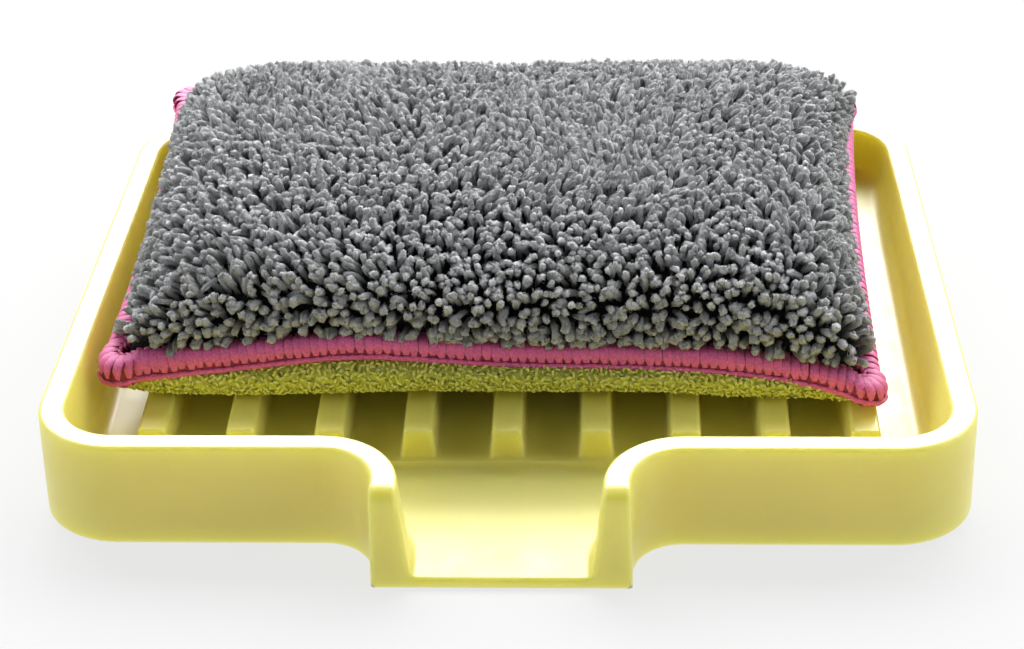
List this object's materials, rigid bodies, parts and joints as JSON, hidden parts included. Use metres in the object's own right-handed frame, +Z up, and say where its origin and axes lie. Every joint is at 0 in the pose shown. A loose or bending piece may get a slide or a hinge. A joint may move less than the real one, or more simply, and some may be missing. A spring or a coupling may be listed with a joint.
{
  "type": "sponge holder",
  "caption": "Self-draining silicone sponge tray with a low wall, drain ribs and a front pouring spout, holding a lift-out pillow-shaped scrub sponge.",
  "frame": {"origin": "on the surface the tray stands on, under the middle of its outline with the spout included", "axes": "+X along the tray's width, to the right as seen from the spout; +Y from the spout to the rear wall; +Z up"},
  "size_m": [0.14, 0.1206, 0.0352],
  "materials": {
    "silicone": "satin moulded silicone",
    "foam": "open-cell foam",
    "pile": "coral-fleece pile",
    "mesh": "knitted scrub mesh",
    "looper_thread": "textured overlock thread",
    "needle_thread": "spun sewing thread"
  },
  "bodies": {
    "tray": {"drip_tray": "silicone"},
    "sponge": {"foam_core": "foam", "pile_cover": "pile", "mesh_cover": "mesh", "overlock_edging": "looper_thread", "needle_thread": "needle_thread"}
  },
  "joints": [
    {"name": "sponge_lift", "type": "slide", "parent": "tray", "child": "sponge", "axis": [0, 0, 1], "range_m": [0, 0.06]}
  ]
}
